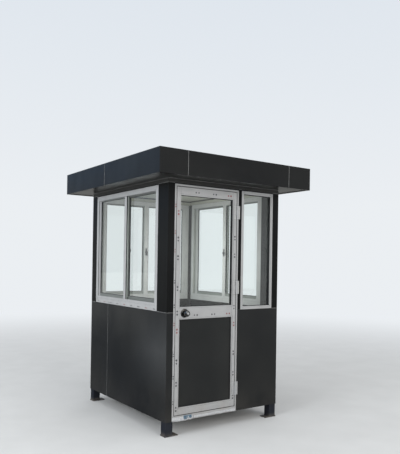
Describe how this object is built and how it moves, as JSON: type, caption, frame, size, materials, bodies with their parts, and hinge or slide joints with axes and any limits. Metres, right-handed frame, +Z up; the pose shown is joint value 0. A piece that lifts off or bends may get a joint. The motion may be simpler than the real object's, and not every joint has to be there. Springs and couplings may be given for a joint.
{
  "type": "security guard booth",
  "caption": "Small free-standing guard booth on short legs, with a flat overhanging roof, sliding windows and a half-glazed side-hung door.",
  "frame": {"origin": "on the ground, in the middle of the plan", "axes": "+Z up, the door in the face towards -Y, the long sides along Y"},
  "size_m": [1.61, 1.91, 2.313],
  "materials": {
    "composite_panel": "charcoal satin coating on folded composite sheet",
    "steel_frame": "dark grey paint on square tube",
    "wall_infill": "foam board",
    "window_aluminium": "extruded bars that still wear white protective film",
    "clear_glass": "clear float glass",
    "floor_sheet": "vinyl-faced board",
    "roof_sheet": "profiled steel sheet",
    "hinge_metal": "satin",
    "knob_metal": "satin stainless"
  },
  "bodies": {
    "booth": {"base_frame": "steel_frame", "floor_board": "floor_sheet", "foot_plates": "steel_frame", "legs": "steel_frame", "front_left_post": "steel_frame", "front_right_post": "steel_frame", "back_left_post": "steel_frame", "back_right_post": "steel_frame", "door_post": "steel_frame", "wall_cores": "wall_infill", "wall_lining": "composite_panel", "top_frame": "steel_frame", "front_left_panel": "composite_panel", "front_right_panel": "composite_panel", "back_left_panel": "composite_panel", "back_right_panel": "composite_panel", "corner_cladding": "composite_panel", "head_trim": "composite_panel", "ceiling": "composite_panel", "soffit": "composite_panel", "fascia_front": "composite_panel", "fascia_back": "composite_panel", "fascia_corners": "composite_panel", "roof_frame": "steel_frame", "roof_deck": "roof_sheet", "left_window_frame": "window_aluminium", "left_window_sashes": "window_aluminium", "left_window_glass": "clear_glass", "right_window_frame": "window_aluminium", "right_window_sashes": "window_aluminium", "right_window_glass": "clear_glass", "back_window_frame": "window_aluminium", "back_window_sashes": "window_aluminium", "back_window_glass": "clear_glass", "front_window_frame": "window_aluminium", "front_window_glass": "clear_glass", "door_frame": "window_aluminium", "door_stops": "window_aluminium", "door_threshold": "window_aluminium", "frame_hinges": "hinge_metal"},
    "door": {"door_leaf": "window_aluminium", "door_glass": "clear_glass", "door_kick_panel": "composite_panel", "leaf_hinges": "hinge_metal", "knob_roses": "knob_metal"},
    "knob": {"door_knob": "knob_metal"}
  },
  "joints": [
    {"name": "door_hinge", "type": "hinge", "parent": "booth", "child": "door", "pos_m": [0.1065, -0.7605, 1.1], "axis": [0, 0, 1], "range_deg": [0, 110]},
    {"name": "knob_turn", "type": "hinge", "parent": "door", "child": "knob", "pos_m": [-0.43, -0.73, 1.005], "axis": [0, 1, 0], "range_deg": [-45, 45], "stiffness_Nm_per_rad": 0.25}
  ]
}
